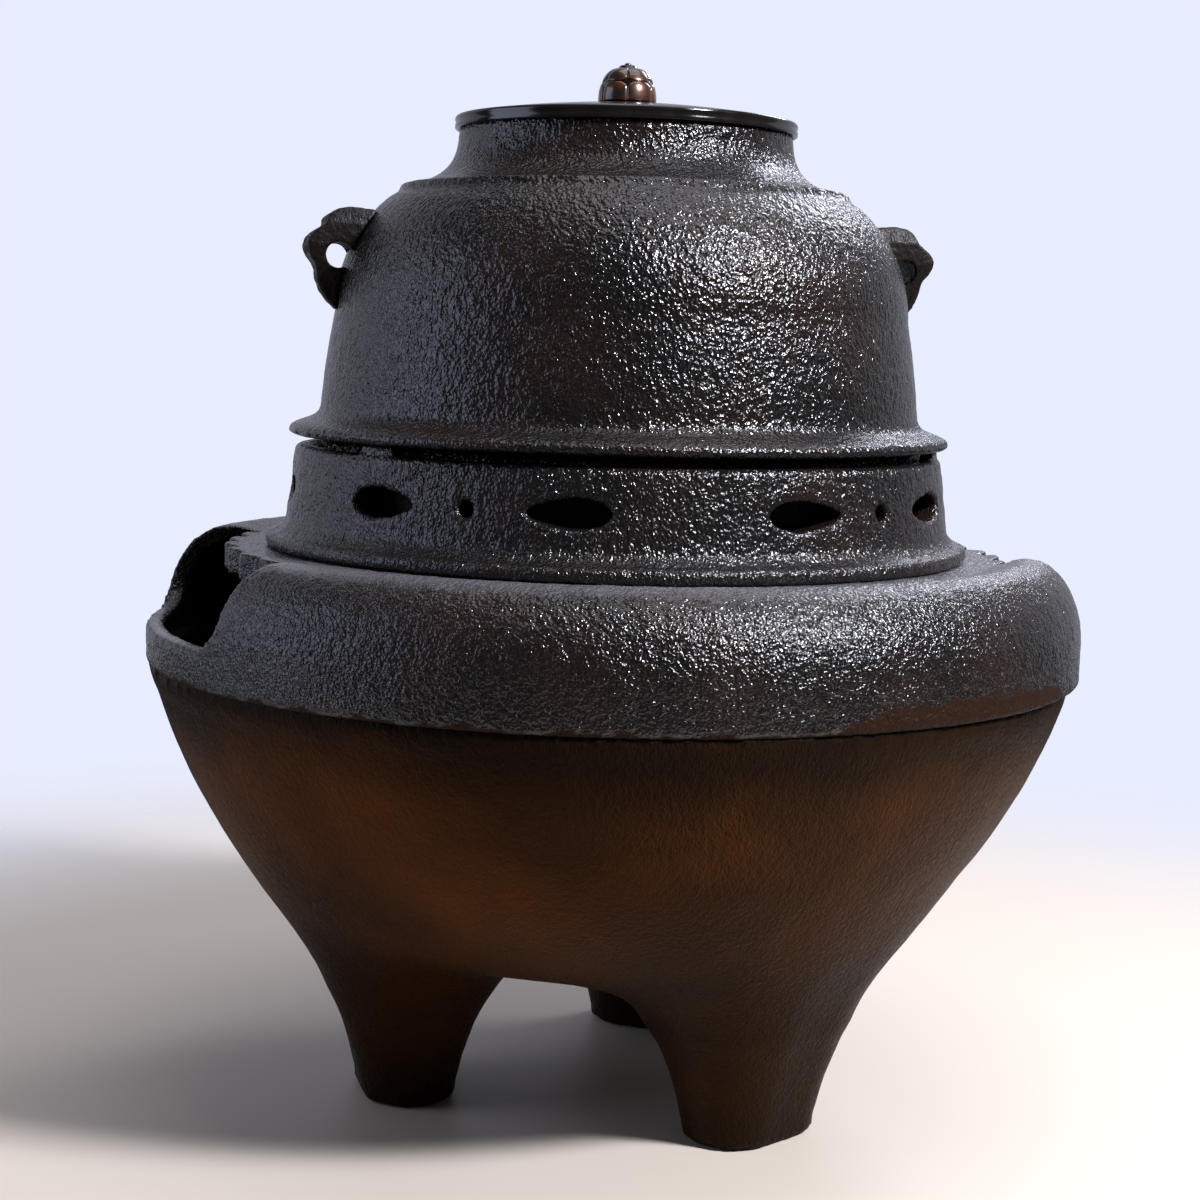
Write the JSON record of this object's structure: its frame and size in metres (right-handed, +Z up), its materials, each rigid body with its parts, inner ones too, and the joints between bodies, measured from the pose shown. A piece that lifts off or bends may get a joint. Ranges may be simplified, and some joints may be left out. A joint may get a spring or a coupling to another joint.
{
  "type": "tea kettle on a brazier",
  "caption": "Round cast-iron tea kettle with a knobbed lid and two ring lugs, seated by its flange on a tripod iron brazier with vented collar and fire windows.",
  "frame": {"origin": "on the table under the common axis of kettle and brazier", "axes": "+Z up along the common axis; -Y towards the front fire window"},
  "size_m": [0.3108, 0.3108, 0.3449],
  "materials": {
    "iron_bowl": "brown patinated cast iron, finely pebbled, satin",
    "iron_black": "black lacquered cast iron, pebbled skin, semi-gloss",
    "iron_pan": "rough sooted cast iron",
    "bronze_lid": "black lacquered bronze sheet, glossy",
    "copper_knob": "brown patinated copper, polished on the high spots"
  },
  "bodies": {
    "furo": {"furo_bowl": "iron_bowl", "leg_front": "iron_bowl", "leg_rear_right": "iron_bowl", "leg_rear_left": "iron_bowl", "furo_shoulder": "iron_black", "furo_collar": "iron_black", "rim_seats": "iron_black"},
    "kettle": {"kettle_body": "iron_black", "kettle_pan": "iron_pan", "singing_plates": "iron_pan", "lug_front": "iron_black", "lug_rear": "iron_black"},
    "lid": {"lid_plate": "bronze_lid", "knob_seat": "copper_knob", "lid_knob": "copper_knob", "rivet_washer": "copper_knob", "knob_rivet": "copper_knob"}
  },
  "joints": [
    {"name": "kettle_lift", "type": "slide", "parent": "furo", "child": "kettle", "axis": [0, 0, 1], "range_m": [0, 0.1]},
    {"name": "lid_lift", "type": "slide", "parent": "kettle", "child": "lid", "axis": [0, 0, 1], "range_m": [0, 0.05]}
  ]
}
